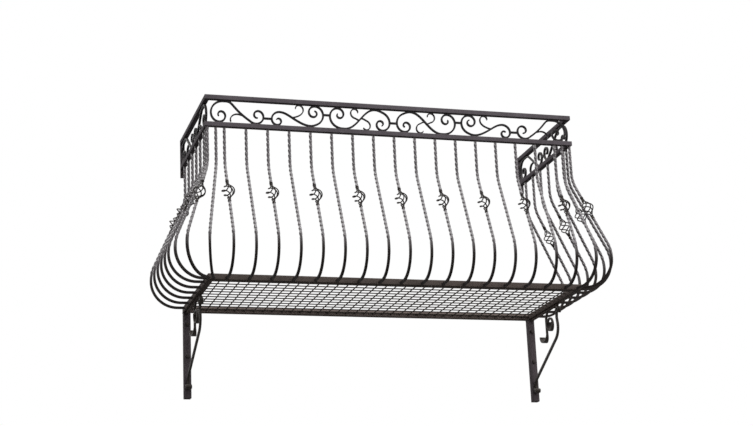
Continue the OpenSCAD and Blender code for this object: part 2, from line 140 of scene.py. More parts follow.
# The pale paint of the bars gives way to dark iron and painted shade from SHOULDER_TOP
# down to SHOULDER_Z, both above the middle of the floor frame
SHOULDER_Z = 118
SHOULDER_TOP = 198

# Between its collars a basket widens with this power of a sine
BASKET_FULLNESS = 4

# Forms that the scene draws finer than the construction: hook and toe of a bracket
HOOK_SAG = 5
TOE_R = 12.5
TOE_DROP = 3


class Flow:
    """A shader socket that can be reckoned with."""

    def __init__(self, finish, socket):
        self.finish = finish
        self.socket = socket

    def reckon(self, operation, first, second, clamp=False):
        settings = {"operation": operation, "use_clamp": clamp}
        return self.finish.node("Math", settings, slots={0: first, 1: second})[0]

    def __add__(self, other):
        return self.reckon("ADD", self, other)

    def __radd__(self, other):
        return self.reckon("ADD", other, self)

    def __sub__(self, other):
        return self.reckon("SUBTRACT", self, other)

    def __rsub__(self, other):
        return self.reckon("SUBTRACT", other, self)

    def __mul__(self, other):
        return self.reckon("MULTIPLY", self, other)

    def __rmul__(self, other):
        return self.reckon("MULTIPLY", other, self)

    def clamped(self):
        return self.reckon("ADD", self, 0.0, clamp=True)


class Finish:
    """The nodes of a material or of the world, in the making."""

    def __init__(self, owner):
        owner.use_nodes = True
        self.owner = owner
        self.tree = owner.node_tree
        self.tree.nodes.clear()

    def node(self, kind, settings=None, stops=(), slots=None, **inputs):
        """Adds a node: its settings and stops first, then its inputs, by number in
        slots or else by name. Gives its outputs by name and by number."""
        node = self.tree.nodes.new("ShaderNode" + kind)
        for name, value in (settings or {}).items():
            setattr(node, name, value)
        if stops:
            ramp = node.color_ramp
            while len(ramp.elements) < len(stops):
                ramp.elements.new(0.5)
            for element, (spot, value) in zip(ramp.elements, stops):
                element.position = spot
                element.color = (value, value, value, 1)
        feeds = {name.replace("_", " "): value for name, value in inputs.items()}
        feeds.update(slots or {})
        for key, value in feeds.items():
            if isinstance(value, Flow):
                self.tree.links.new(value.socket, node.inputs[key])
            else:
                node.inputs[key].default_value = value
        outputs = {s.name: Flow(self, s) for s in node.outputs}
        outputs.update({i: Flow(self, s) for i, s in enumerate(node.outputs)})
        return outputs

    def noise(self, place, scale, detail, roughness):
        return self.node(
            "TexNoise", Vector=place, Scale=scale, Detail=detail, Roughness=roughness
        )["Fac"]

    def ramp(self, value, *stops):
        return self.node("ValToRGB", stops=stops, Fac=value)["Color"]

    def blend(self, share, under, over):
        """Colour under, covered by colour over where share is 1."""
        slots = {0: share, 6: under, 7: over}
        return self.node("Mix", {"data_type": "RGBA"}, slots=slots)[2]

    def shader_blend(self, share, under, over):
        return self.node("MixShader", slots={0: share, 1: under, 2: over})[0]


PALE_SPECK = (0.19, 0.155, 0.14, 1)
DUST = (0.25, 0.225, 0.195, 1)
RUST = (0.115, 0.046, 0.021, 1)
# Dark iron of a bar's belly: partly its own colour and partly painted shade
DARK_IRON_AND_SHADE = (0.03, 0.0255, 0.0235, 1)
DEEP_IRON_AND_SHADE = (0.016, 0.0135, 0.0122, 1)


def bronze_paint(name, tint, pale, dusty, rusty, roughness, specular, to_iron_and_shade=False):
    """Brushed dark bronze: cloudy colour, dust on what faces up and thin rust in pits.
    On a bar that goes over to iron and shade, it is painted darker at the belly, partly
    for bare iron and partly as painted shade where its faces turn down, and it is
    without lacquer there."""
    f = Finish(bpy.data.materials.new(name))
    place = f.node("TexCoord")["Object"]
    axes = f.node("SeparateXYZ", Vector=place)
    drawn = f.node(
        "CombineXYZ", X=95 * axes["X"], Y=95 * axes["Y"], Z=14 * axes["Z"]
    )["Vector"]
    cloud = f.noise(place, scale=7.0, detail=5.0, roughness=0.6)
    grain = f.noise(place, scale=150.0, detail=3.0, roughness=0.6)
    runs = f.noise(drawn, scale=1.0, detail=4.0, roughness=0.55)
    hammered = f.node(
        "TexVoronoi", {"feature": "SMOOTH_F1"}, Vector=place, Scale=210.0
    )["Distance"]

    brushed = f.ramp(0.6 * cloud + 0.4 * runs, (0.36, 0.0), (0.64, 1.0))
    colour = f.blend(brushed, (*tint, 1), (*pale, 1))
    belly = lacquer = 0.0
    # Painted shade: below the shoulder the colour darkens to iron, partly bare iron and
    # partly the shade of faces that turn down
    if to_iron_and_shade:
        belly = f.node(
            "MapRange",
            Value=axes["Z"] + 0.012 * (grain - 0.5) + 0.02 * (cloud - 0.5),
            From_Min=SHOULDER_Z * MM,
            From_Max=SHOULDER_TOP * MM,
            To_Min=1.0,
            To_Max=0.0,
        )["Result"]
        colour = f.blend(belly, colour, f.blend(cloud, DEEP_IRON_AND_SHADE, DARK_IRON_AND_SHADE))
        lacquer = 1 - belly

    fine = f.noise(place, scale=420.0, detail=2.0, roughness=0.5)
    speck = f.ramp(fine, (0.6, 0.0), (0.72, 1.0))
    colour = f.blend(speck * 0.3, colour, PALE_SPECK)

    up = f.node("SeparateXYZ", Vector=f.node("NewGeometry")["Normal"])["Z"]
    patchy = f.noise(place, scale=34.0, detail=4.0, roughness=0.65)
    dust = (f.ramp(patchy, (0.34, 0.2), (0.7, 1.0)) * up).clamped() * dusty
    colour = f.blend(dust, colour, DUST)

    pitted = f.noise(place, scale=58.0, detail=6.0, roughness=0.72)
    damp = f.noise(place, scale=9.0, detail=2.0, roughness=0.5)
    pits = f.ramp(pitted, (0.63, 0.0), (0.73, 1.0))
    rust = pits * f.ramp(damp, (0.45, 0.0), (0.62, 1.0)) * rusty
    colour = f.blend(rust, colour, RUST)

    uneven = 0.16 * (cloud - 0.5) + 0.14 * (grain - 0.5)
    dull = roughness + 0.2 * belly + uneven + 0.35 * dust + 0.3 * rust
    relief = 0.5 * grain + 0.35 * hammered + 0.3 * runs - 0.8 * rust
    bump = f.node("Bump", Height=relief, Strength=0.5, Distance=0.0007)
    shader = f.node(
        "BsdfPrincipled",
        Base_Color=colour,
        Roughness=dull.clamped(),
        Normal=bump["Normal"],
        Specular_IOR_Level=specular,
        Specular_Tint=(1.0, 0.9, 0.94, 1),
        Coat_Weight=lacquer,
        Coat_Roughness=0.34,
        Coat_IOR=1.6,
    )["BSDF"]
    f.node("OutputMaterial", Surface=shader)
    return f.owner


# Each paint has its coat for the faces and, where they differ, one for the edges
BAR_PAINT = (
    bronze_paint(
        "rubbed bronze on the twisted bars",
        tint=(0.023, 0.0195, 0.022),
        pale=(0.072, 0.06, 0.067),
        dusty=0.35,
        rusty=0.5,
        roughness=0.5,
        specular=0.1,
        to_iron_and_shade=True,
    ),
    # Pale ridges of the twist: partly rubbed wear and partly painted highlights that
    # stand in for the glints of the twisted faces
    bronze_paint(
        "bronze rubbed pale on the ridges of the twist",
        tint=(0.16, 0.136, 0.148),
        pale=(0.35, 0.3, 0.32),
        dusty=0.3,
        rusty=0.5,
        roughness=0.5,
        specular=0.1,
        to_iron_and_shade=True,
    ),
)
RAIL_PAINT = (
    bronze_paint(
        "bronze paint on the rails",
        tint=(0.0835, 0.0721, 0.0806),
        pale=(0.119, 0.1051, 0.1164),
        dusty=0.6,
        rusty=0.25,
        roughness=0.72,
        specular=0.03,
    ),
    bronze_paint(
        "bronze worn thin on the edges of the rails",
        tint=(0.06, 0.053, 0.056),
        pale=(0.09, 0.08, 0.084),
        dusty=0.25,
        rusty=0.3,
        roughness=0.7,
        specular=0.03,
    ),
)
SCROLL_PAINT = (
    bronze_paint(
        "dark bronze on the forged scrolls",
        tint=(0.009, 0.009, 0.0098),
        pale=(0.021, 0.02, 0.0215),
        dusty=0.3,
        rusty=0.4,
        roughness=0.5,
        specular=0.1,
    ),
    bronze_paint(
        "dark bronze on the scroll edges",
        tint=(0.018, 0.017, 0.0185),
        pale=(0.045, 0.042, 0.044),
        dusty=0.3,
        rusty=0.4,
        roughness=0.46,
        specular=0.14,
    ),
)
BASKET_PAINT = (
    bronze_paint(
        "dark bronze on the basket rods",
        tint=(0.008, 0.0068, 0.0064),
        pale=(0.028, 0.023, 0.0205),
        dusty=0.5,
        rusty=1.0,
        roughness=0.36,
        specular=0.14,
    ),
)
# The rear bar's paint is the floor frame's brown made about twice as light: painted
# light that stands in for the light falling on it from in front
REAR_LIT_PAINT = (
    bronze_paint(
        "brown bronze painted light on the rear bar",
        tint=(0.1568, 0.1251, 0.1145),
        pale=(0.224, 0.1802, 0.1642),
        dusty=0.45,
        rusty=0.45,
        roughness=0.72,
        specular=0.03,
    ),
    bronze_paint(
        "brown bronze worn on the edges of the rear bar",
        tint=(0.12, 0.1, 0.09),
        pale=(0.19, 0.16, 0.143),
        dusty=0.45,
        rusty=0.45,
        roughness=0.68,
        specular=0.03,
    ),
)
WIRE_PAINT = (
    bronze_paint(
        "dull brown paint on the floor wires",
        tint=(0.028, 0.023, 0.019),
        pale=(0.058, 0.047, 0.04),
        dusty=0.5,
        rusty=0.9,
        roughness=0.75,
        specular=0.1,
    ),
)
FRAME_PAINT = (
    bronze_paint(
        "brown bronze on the floor frame",
        tint=(0.0855, 0.07, 0.0629),
        pale=(0.1259, 0.1027, 0.0926),
        dusty=0.55,
        rusty=0.45,
        roughness=0.72,
        specular=0.03,
    ),
    bronze_paint(
        "brown bronze worn on the edges of the floor frame",
        tint=(0.075, 0.062, 0.055),
        pale=(0.125, 0.104, 0.093),
        dusty=0.55,
        rusty=0.45,
        roughness=0.68,
        specular=0.03,
    ),
)
LEG_PAINT = (
    bronze_paint(
        "bronze paint on the legs",
        tint=(0.0702, 0.0581, 0.064),
        pale=(0.1091, 0.0919, 0.1007),
        dusty=0.5,
        rusty=0.35,
        roughness=0.7,
        specular=0.04,
    ),
    bronze_paint(
        "bronze worn on the edges of the legs",
        tint=(0.0675, 0.0594, 0.0607),
        pale=(0.1215, 0.108, 0.1107),
        dusty=0.5,
        rusty=0.4,
        roughness=0.65,
        specular=0.05,
    ),
)
BRACKET_PAINT = (
    bronze_paint(
        "black bronze on the bracket bars",
        tint=(0.013, 0.0115, 0.009),
        pale=(0.028, 0.0245, 0.02),
        dusty=0.35,
        rusty=0.4,
        roughness=0.5,
        specular=0.2,
    ),
    bronze_paint(
        "black bronze on the edges of the bracket bars",
        tint=(0.024, 0.021, 0.017),
        pale=(0.052, 0.045, 0.038),
        dusty=0.35,
        rusty=0.4,
        roughness=0.45,
        specular=0.22,
    ),
)
BOLT_PAINT = (
    bronze_paint(
        "painted bolts and weld beads",
        tint=(0.014, 0.012, 0.011),
        pale=(0.034, 0.028, 0.025),
        dusty=0.3,
        rusty=1.0,
        roughness=0.5,
        specular=0.25,
    ),
)


def piece(name, bm, paint, slot, *stands_for):
    """Turns the mesh into a named piece that rides on the balcony."""
    bmesh.ops.recalc_face_normals(bm, faces=bm.faces)
    mesh = bpy.data.meshes.new(name)
    bm.to_mesh(mesh)
    bm.free()
    mesh.shade_smooth()
    mesh.set_sharp_from_angle(angle=math.radians(38))
    for coat in paint:
        mesh.materials.append(coat)
    made = bpy.data.objects.new(name, mesh)
    scene.collection.objects.link(made)
    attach(made, "root")
    if stands_for:
        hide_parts(*stands_for)


def section(bm, width, depth, corner):
    """A rectangular bar end with cut corners, lying flat at the origin."""
    made = bmesh.ops.create_circle(
        bm, cap_ends=True, radius=math.sqrt(0.5) * MM, segments=4
    )
    bmesh.ops.rotate(
        bm, matrix=Matrix.Rotation(math.pi / 4, 3, "Z"), verts=made["verts"]
    )
    bmesh.ops.scale(bm, vec=(width, depth, 1), verts=made["verts"])
    bmesh.ops.bevel(
        bm,
        geom=made["verts"],
        offset=corner * MM,
        segments=1,
        profile=0.5,
        affect="VERTICES",
        material=-1,
    )
    return list(bm.edges)


def round_section(bm, diameter, sides):
    """A round bar end, lying flat at the origin."""
    bmesh.ops.create_circle(bm, cap_ends=True, radius=diameter / 2 * MM, segments=sides)
    return list(bm.edges)


def drawn_out(stations, start):
    """A bar drawn from its end section through the stations, each the place and turn
    of the section there. Its narrow faces, the cut corners, take the second coat."""
    bm = bmesh.new()
    ring = start(bm)
    bmesh.ops.transform(bm, matrix=stations[0], verts=bm.verts)
    last = stations[0]
    for here in stations[1:]:
        made = bmesh.ops.extrude_edge_only(bm, edges=ring)["geom"]
        verts = [g for g in made if isinstance(g, bmesh.types.BMVert)]
        edges = [g for g in made if isinstance(g, bmesh.types.BMEdge)]
        faces = [g for g in made if isinstance(g, bmesh.types.BMFace)]
        fresh = set(verts)
        ring = [edge for edge in edges if fresh.issuperset(edge.verts)]
        bmesh.ops.transform(bm, matrix=here @ last.inverted(), verts=verts)
        widest = max(face.calc_area() for face in faces)
        for face in faces:
            face.material_index = int(face.calc_area() < widest / 3)
        last = here
    bmesh.ops.holes_fill(bm, edges=ring, sides=0)
    bmesh.ops.recalc_face_normals(bm, faces=bm.faces)
    return bm


def kept(bm):
    """The mesh of a part that is set in several places."""
    mesh = bpy.data.meshes.new("pattern")
    bm.to_mesh(mesh)
    bm.free()
    return mesh


def add(bm, pattern, place):
    """Sets a copy of the pattern in its place."""
    copy = pattern.copy()
    copy.transform(place)
    if place.determinant() < 0:
        copy.flip_normals()
    bm.from_mesh(copy)
    bpy.data.meshes.remove(copy)


def join(bm, part, place=Matrix.Identity(4)):
    """Adds a part that is set only once, and drops its own mesh."""
    pattern = kept(part)
    add(bm, pattern, place)
    bpy.data.meshes.remove(pattern)


def set_out(pattern, places):
    bm = bmesh.new()
    for place in places:
        add(bm, pattern, place)
    return bm


def rounded(bm, edges, radius, segments):
    """Rounds the edges and gives the faces that this makes."""
    return bmesh.ops.bevel(
        bm,
        geom=edges,
        offset=radius * MM,
        segments=segments,
        profile=0.5,
        affect="EDGES",
        clamp_overlap=True,
        material=-1,
    )["faces"]


def softened(node, radius, segments=2, shortest=0.0):
    """The solid of a node with its sharp edges rounded, if longer than shortest."""
    bm = bmesh.new()
    bm.from_mesh(nodes[node].data)
    bmesh.ops.remove_doubles(bm, verts=bm.verts, dist=1e-5)
    bmesh.ops.dissolve_limit(
        bm, angle_limit=math.radians(1.0), verts=bm.verts, edges=bm.edges
    )
    sharp = [
        e
        for e in bm.edges
        if len(e.link_faces) == 2
        and e.calc_face_angle(0) > math.radians(40)
        and e.calc_length() > shortest * MM
    ]
    for face in rounded(bm, sharp, radius, segments):
        face.material_index = 1
    return bm


def turned(profile, steps):
    """A round part turned from its half profile, each point a radius and a height."""
    bm = bmesh.new()
    verts = [bm.verts.new((r * MM, 0, z * MM)) for r, z in profile]
    edges = [bm.edges.new(pair) for pair in zip(verts, verts[1:])]
    bmesh.ops.spin(
        bm,
        geom=verts + edges,
        cent=(0, 0, 0),
        axis=(0, 0, 1),
        angle=2 * math.pi,
        steps=steps,
        use_merge=True,
    )
    bmesh.ops.remove_doubles(bm, verts=bm.verts, dist=1e-6)
    bmesh.ops.recalc_face_normals(bm, faces=bm.faces)
    return bm


def at(x, y, turn):
    """A place at the underside of the floor frame, in mm, turned in plan."""
    move = Matrix.Translation((x * MM, y * MM, -ORIGIN_Z * MM))
    return move @ Matrix.Rotation(turn, 4, "Z")


def faced(x, y, z, normal):
    """A place on a face in mm, its upright along the face's normal."""
    turn = Vector(normal).to_track_quat("Z", "Y").to_matrix().to_4x4()
    return Matrix.Translation((x * MM, y * MM, (z - ORIGIN_Z) * MM)) @ turn


def side_place(side, y):
    return at(SIDES[side] * RAIL_X, -y, 0.0 if side == "right" else math.pi)


def front_place(x):
    return at(x, -RAIL_Y, -math.pi / 2)


def corner_place(side):
    turn = -math.pi / 4 if side == "right" else -3 * math.pi / 4
    return at(SIDES[side] * RAIL_X, -RAIL_Y, turn)


def bent(corners):
    """Points of a line through corners, each with its bend radius but for the ends."""
    points = [Vector(corners[0])]
    for before, corner, after in zip(corners, corners[1:], corners[2:]):
        a, b, c = Vector(before[:2]), Vector(corner[:2]), Vector(after[:2])
        radius = corner[2]
        u, v = (b - a).normalized(), (c - b).normalized()
        angle = math.atan2(u.x * v.y - u.y * v.x, u.dot(v))
        side = math.copysign(1, angle)
        first = b - u * radius * math.tan(abs(angle) / 2)
        middle = first + side * radius * Vector((-u.y, u.x))
        steps = max(4, int(abs(angle) / math.radians(2.5)))
        for i in range(steps + 1):
            arm = Matrix.Rotation(angle * i / steps, 2) @ (first - middle)
            points.append(middle + arm)
    points.append(Vector(corners[-1]))
    return points


def measured(points):
    """Running length at each point."""
    run = [0.0]
    for a, b in zip(points, points[1:]):
        run.append(run[-1] + (b - a).length)
    return run


def along(points, run, length):
    """Point and direction at a length along the line."""
    i = 1
    while i < len(run) - 1 and run[i] < length:
        i += 1
    a, b = points[i - 1], points[i]
    share = (length - run[i - 1]) / max(run[i] - run[i - 1], 1e-9)
    return a + (b - a) * share, (b - a).normalized()


def height_at(points, run, z):
    """The length at which a falling line first comes down to a height."""
    for i in range(1, len(points)):
        if points[i].z <= z:
            a, b = points[i - 1], points[i]
            return run[i - 1] + (a.z - z) / (a.z - b.z) * (run[i] - run[i - 1])
    return run[-1]


def belly_path(reach, plan_turn):
    """Line of a bar that bulges along +X, with its foot this far back from the belly,
    swung in plan."""
    upper = bent(
        [
            (0, LOW_Z - RAIL_T + 1),
            (0, KNEE_Z, KNEE_R),
            (BELLY_OUT, BELLY_Z, BELLY_R),
            (BELLY_OUT, UPRIGHT_Z - 1),
        ]
    )
    lower = bent([(0, UPRIGHT_Z - 1), (0, HEEL_Z, HEEL_R), (reach + 2, FOOT_Z)])
    back = math.pi + plan_turn
    points = [Vector((p.x, 0, p.y)) for p in upper]
    points += [
        Vector((BELLY_OUT + p.x * math.cos(back), p.x * math.sin(back), p.y))
        for p in lower[1:]
    ]
    return points


def bar_frame(point, direction, side, turn=0.0):
    """Place of a bar's section: its own turn about the bar comes on top of the bend."""
    out = side.cross(direction).normalized()
    flat = direction.cross(out).normalized()
    bend = Matrix((out, flat, direction)).transposed().to_4x4()
    return Matrix.Translation(point * MM) @ bend @ Matrix.Rotation(turn, 4, "Z")


def twisted_bar(reach, plan_turn=0.0, basketed=False):
    """A square bar, twisted down to its shoulder and smooth below, with a gap for its
    basket."""
    points = belly_path(reach, plan_turn)
    run = measured(points)
    begin, stop = height_at(points, run, TWIST_TOP), height_at(points, run, TWIST_END)
    turn_from = height_at(points, run, UPRIGHT_Z + PLAN_TURN_ABOVE)
    quarters = round((stop - begin) / QUARTER)
    rate = quarters * math.pi / 2 / (stop - begin)
    marks = [0.0, begin]
    while marks[-1] < stop:
        marks.append(min(marks[-1] + TWIST_STEP, stop))
    while marks[-1] < run[-1] - 1:
        marks.append(min(marks[-1] + SMOOTH_STEP, run[-1]))
    parts = [marks]
    if basketed:
        middle = height_at(points, run, BASKET_Z)
        half = (BASKET_LEN - COLLAR_LEN) / 2
        top, bottom = middle - half, middle + half
        parts = [
            [m for m in marks if m < top - 1] + [top],
            [bottom] + [m for m in marks if m > bottom + 1],
        ]
    whole = bmesh.new()
    for part in parts:
        stations = []
        for length in part:
            point, direction = along(points, run, length)
            swing = plan_turn * min(max((length - turn_from) / PLAN_TURN_RUN, 0), 1)
            side = Vector((-math.sin(swing), math.cos(swing), 0))
            twist = -rate * (min(max(length, begin), stop) - begin)
            stations.append(bar_frame(point, direction, side, twist))
        join(whole, drawn_out(stations, lambda bm: section(bm, BAR, BAR, corner=1.0)))
    return kept(whole)


def rod_point(share, rod):
    """A point of a basket rod, from the lower collar at 0 to the upper one at 1."""
    spread = (COLLAR_D - BASKET_ROD) / 2 - 1
    widening = math.sin(math.pi * share) ** BASKET_FULLNESS
    spread += (BASKET_D - COLLAR_D) / 2 * widening
    a = math.radians(90 * rod + BASKET_TURN * (share - 0.5))
    height = (share - 0.5) * (BASKET_LEN - COLLAR_LEN)
    return Vector((spread * math.cos(a), spread * math.sin(a), height))


COLLAR = (
    (0, 0),
    (8.2, 0),
    (9.5, 1.6),
    (9.5, 4.2),
    (7.6, 5.4),
    (8.6, 7),
    (7.4, 9),
    (0, 9),
)


def basket():
    """Four round rods wound between two collars."""
    whole = bmesh.new()
    steps = 36
    for rod in range(4):
        stations = []
        for share in (i / steps for i in range(steps + 1)):
            here = rod_point(share, rod)
            ahead = rod_point(min(share + 0.01, 1), rod)
            behind = rod_point(max(share - 0.01, 0), rod)
            direction = (ahead - behind).normalized()
            stations.append(bar_frame(here, direction, Vector((here.x, here.y, 0))))
        join(whole, drawn_out(stations, lambda bm: round_section(bm, BASKET_ROD, 8)))
    upper = Matrix.Translation((0, 0, (BASKET_LEN / 2 - COLLAR_LEN) * MM))
    for spot in (Matrix.Rotation(math.pi, 4, "X") @ upper, upper):
        join(whole, turned(COLLAR, 14), spot)
    return kept(whole)


def at_basket():
    """Place of a basket on a bar that bulges along +X."""
    out = (KNEE_Z - BASKET_Z) * math.tan(SLOPE)
    move = Matrix.Translation((out * MM, 0, BASKET_Z * MM))
    return move @ Matrix.Rotation(-SLOPE, 4, "Y")


def fan(side, in_front):
    """The bar beside a corner: its place, its foot on the frame, and how far its foot
    comes back from the belly and swings in plan."""
    sign = SIDES[side]
    if in_front:
        place = Vector((sign * FAN_X, -RAIL_Y))
        heading = math.radians(-90 + sign * FAN_TURN)
        foot = Vector((sign * (FRAME_X - FAN_FOOT), -FRAME_Y))
    else:
        place = Vector((sign * RAIL_X, -FAN_Y))
        heading = math.radians(-FAN_TURN if sign > 0 else 180 + FAN_TURN)
        foot = Vector((sign * FRAME_X, FAN_FOOT - FRAME_Y))
    belly = place + BELLY_OUT * Vector((math.cos(heading), math.sin(heading)))
    home = foot - belly
    swing = math.atan2(home.y, home.x) - heading - math.pi
    swing = (swing + math.pi) % (2 * math.pi) - math.pi
    return at(place.x, place.y, heading), foot, home.length, swing


front_reach = BELLY_OUT - (FRAME_Y - RAIL_Y)
corner_reach = math.hypot(
    RAIL_X + BELLY_OUT * math.sqrt(0.5) - FRAME_X,
    RAIL_Y + BELLY_OUT * math.sqrt(0.5) - FRAME_Y,
)
plain = twisted_bar(front_reach)
basketed = twisted_bar(front_reach, basketed=True)
wound = basket()
front_plain = [k * BAY for k in range(-FRONT_N, FRONT_N + 1) if k % 2]
front_basket = [k * BAY for k in range(-FRONT_N, FRONT_N + 1) if k % 2 == 0]
side_plain = [SIDE_FIRST + j * BAY for j in range(SIDE_N + 1) if j % 2 == 0]
side_basket = [SIDE_FIRST + j * BAY for j in range(SIDE_N + 1) if j % 2]


def bars_and_baskets(side, plain_places, basket_places, corner_places=()):
    """The bars of one side, and its baskets with that of its corner bar."""
    piece(
        f"twisted_bars_{side}",
        set_out(plain, plain_places),
        BAR_PAINT,
        "bar_paint",
        f"{side}_balusters_plain",
    )
    piece(
        f"twisted_basket_bars_{side}",
        set_out(basketed, basket_places),
        BAR_PAINT,
        "bar_paint",
        f"{side}_balusters_basket",
    )
    spots = [place @ at_basket() for place in (*basket_places, *corner_places)]
    piece(
        f"wound_baskets_{side}",
        set_out(wound, spots),
        BASKET_PAINT,
        "bar_paint",
        f"{side}_baskets",
    )


bars_and_baskets(
    "front",
    [front_place(x) for x in front_plain],
    [front_place(x) for x in front_basket],
)
for side in SIDES:
    bars_and_baskets(
        side,
        [side_place(side, y) for y in side_plain],
        [side_place(side, y) for y in side_basket],
        [corner_place(side)],
    )
    piece(
        f"twisted_corner_bar_{side}",
        set_out(twisted_bar(corner_reach, basketed=True), [corner_place(side)]),
        BAR_PAINT,
        "bar_paint",
        f"corner_baluster_{side}",
    )
    pair = bmesh.new()
    for in_front in (True, False):
        place, _, reach, swing = fan(side, in_front)
        add(pair, twisted_bar(reach, swing), place)
    piece(
        f"twisted_fan_bars_{side}",
        pair,
        BAR_PAINT,
        "bar_paint",
        f"fan_balusters_{side}",
    )


def volute(form, steps):
    """Points of a volute, given by its centre x and y, outer and inner radius, start
    angle and sweep, from its outer end to its eye."""
    x, y, outer, inner, start, sweep = form
    points = []
    for i in range(steps + 1):
        r = outer * (inner / outer) ** (i / steps)
        a = math.radians(start + sweep * i / steps)
        points.append(Vector((x + r * math.cos(a), y + r * math.sin(a))))
    return points


def away(points):
    """Direction out of the first point of a line."""
    return (points[0] - points[1]).normalized()


def handles(p, dp, hp, q, dq, hq):
    """The four points of a curve from p to q, that leaves and meets them along dp and
    dq with handles of hp and hq of their distance."""
    reach = (q - p).length
    return [p, p + dp * hp * reach, q + dq * hq * reach, q]


def cubic(q, t):
    return (
        (1 - t) ** 3 * q[0]
        + 3 * (1 - t) ** 2 * t * q[1]
        + 3 * (1 - t) * t * t * q[2]
        + t**3 * q[3]
    )


# Forms of the three scrolls of half the band, as in the construction. Each has its two
# volutes and the handles of the sweep between them, and then its branches: a volute,
# where on the sweep it starts, to which side, and its two handles.
UNITS = {
    1: (
        (
            (-932.74, -15.7, 73.7, 10.6, 73.3, 506),
            (-737.93, -9.3, 49.8, 12.4, -140.9, 418),
            0.31,
            0.75,
        ),
        [((-866.6, -46.7, 42.5, 10.8, 63.9, 127), 0.875, -1, 0.1, 0.26)],
    ),
    2: (
        (
            (-628.67, -32.8, 50.8, 9.3, 62.3, 440),
            (-434, 17.8, 63, 11.8, -81, 518),
            0.22,
            0.37,
        ),
        [((-518, 36.2, 31.2, 14.5, -59.6, 240), 0.335, 1, 0.02, 0.39)],
    ),
    3: (
        (
            (-297.35, 19.5, 75.2, 9.7, -74.1, -501),
            (-68.57, -18.1, 65, 9.2, 83, -505),
            0.38,
            0.47,
        ),
        [
            ((-208.8, 36.6, 30.4, 14.7, -94.2, -269), 0.44, -1, 0.39, 0.41),
            ((-153.2, -35.1, 31.5, 14.8, 80.7, -230), 0.445, 1, 0.4, 0.4),
        ],
    ),
}
# Steps of a volute in the solid, and those of the finer ones drawn here
COARSE = 30
FINE = 84
BRANCH_FINE = 44


def shifted(form, dx):
    return (form[0] + dx, *form[1:])


def unit_lines(number, da, db):
    """Lines of a scroll, its volutes moved by da and db, and of its branches, in the
    plane of the band. Each comes with its width and how thin its two ends are."""
    (form_a, form_b, handle_a, handle_b), branches = UNITS[number]
    form_a, form_b = shifted(form_a, da), shifted(form_b, db)
    # The sweep starts from the solid's coarse volutes, so that both follow one line
    a, b = volute(form_a, COARSE), volute(form_b, COARSE)
    sweep = handles(a[0], away(a), handle_a, b[0], away(b), handle_b)
    heights = [p.y for p in a + b + [cubic(sweep, i / 14) for i in range(1, 14)]]
    low, high = min(heights), max(heights)
    z0 = LOW_Z + SCROLL_T / 2 - BITE
    z1 = LOW_Z + BAND_H - SCROLL_T / 2 + BITE

    def seated(points):
        """Stretched so that the scroll stands on the lower rail and meets the upper."""
        scale = z1 - z0
        return [
            Vector((p.x, z0 + (p.y - low) * scale / (high - low))) for p in points
        ]

    between = [cubic(sweep, i / COARSE) for i in range(1, COARSE)]
    main = volute(form_a, FINE)[::-1] + between + volute(form_b, FINE)
    lines = [(seated(main), SCROLL_T, 0.6, 0.6)]
    for form, start, side, handle_out, handle_in in branches:
        form = shifted(form, da + (db - da) * start)
        eye = volute(form, 16)
        leaving = (cubic(sweep, start + 0.01) - cubic(sweep, start - 0.01)) * side
        branch = handles(
            cubic(sweep, start),
            leaving.normalized(),
            handle_out,
            eye[0],
            away(eye),
            handle_in,
        )
        line = [cubic(branch, i / 20) for i in range(20)] + volute(form, BRANCH_FINE)
        lines.append((seated(line), BRANCH_T, 1, 0.6))
    return lines


def flat_bar(line, width, first, last, plane):
    """A flat bar bent on edge along a line in its plane, thinner towards its ends."""
    n = len(line)
    stations = []
    for i, p in enumerate(line):
        ahead = (line[min(i + 1, n - 1)] - line[max(i - 1, 0)]).normalized()
        direction = plane(p + ahead) - plane(p)
        across = direction.cross(plane(p, 1.0) - plane(p)).normalized()
        deep = direction.cross(across).normalized()
        thin = min(1, first + 4 * i / n, last + 4 * (n - 1 - i) / n)
        turn = Matrix((across * thin, deep, direction.normalized()))
        move = Matrix.Translation(plane(p) * MM)
        stations.append(move @ turn.transposed().to_4x4())
    return drawn_out(stations, lambda bm: section(bm, width, SCROLL_DEEP, corner=1.3))


def front_plane(p, out=0.0):
    return Vector((p.x, -RAIL_Y - out, p.y - ORIGIN_Z))


def side_plane(p, out=0.0):
    return Vector((-RAIL_X - out, p.x, p.y - ORIGIN_Z))


def scroll_piece(lines, plane, mirrored):
    bm = bmesh.new()
    for line, width, first, last in lines:
        bar = flat_bar(line, width, first, last, plane)
        join(bm, bar, MIRROR if mirrored else Matrix.Identity(4))
    return bm


for number in range(1, 7):
    drawn = number if number < 4 else 7 - number
    piece(
        f"forged_scroll_{number}",
        scroll_piece(unit_lines(drawn, 0, 0), front_plane, number > 3),
        SCROLL_PAINT,
        "bar_paint",
        f"frieze_scroll_{number}",
    )

# A side return has the first scroll of the band twice, drawn out to half its length
side_from = RAIL_Y - SIDE_END
side_to = WALL_BAR_T + SCROLL_T / 2
side_half = (side_from - side_to) / 2
side_middle = -side_to - side_half
first_form, second_form = UNITS[1][0][:2]
side_lines = unit_lines(
    1,
    -side_half - min(p.x for p in volute(first_form, COARSE)),
    -SIDE_GAP / 2 - max(p.x for p in volute(second_form, COARSE)),
)


def side_return(p, out=0.0):
    return side_plane(Vector((p.x + side_middle, p.y)), out)


def side_return_back(p, out=0.0):
    return side_plane(Vector((side_middle - p.x, p.y)), out)


for side in SIDES:
    scrolls = bmesh.new()
    for plane in (side_return, side_return_back):
        join(scrolls, scroll_piece(side_lines, plane, side == "right"))
    piece(
        f"forged_scrolls_{side}",
        scrolls,
        SCROLL_PAINT,
        "bar_paint",
        f"frieze_scrolls_{side}",
    )

piece(
    "scroll_links",
    softened("frieze_links", 1.2),
    SCROLL_PAINT,
    "bar_paint",
    "frieze_links",
)

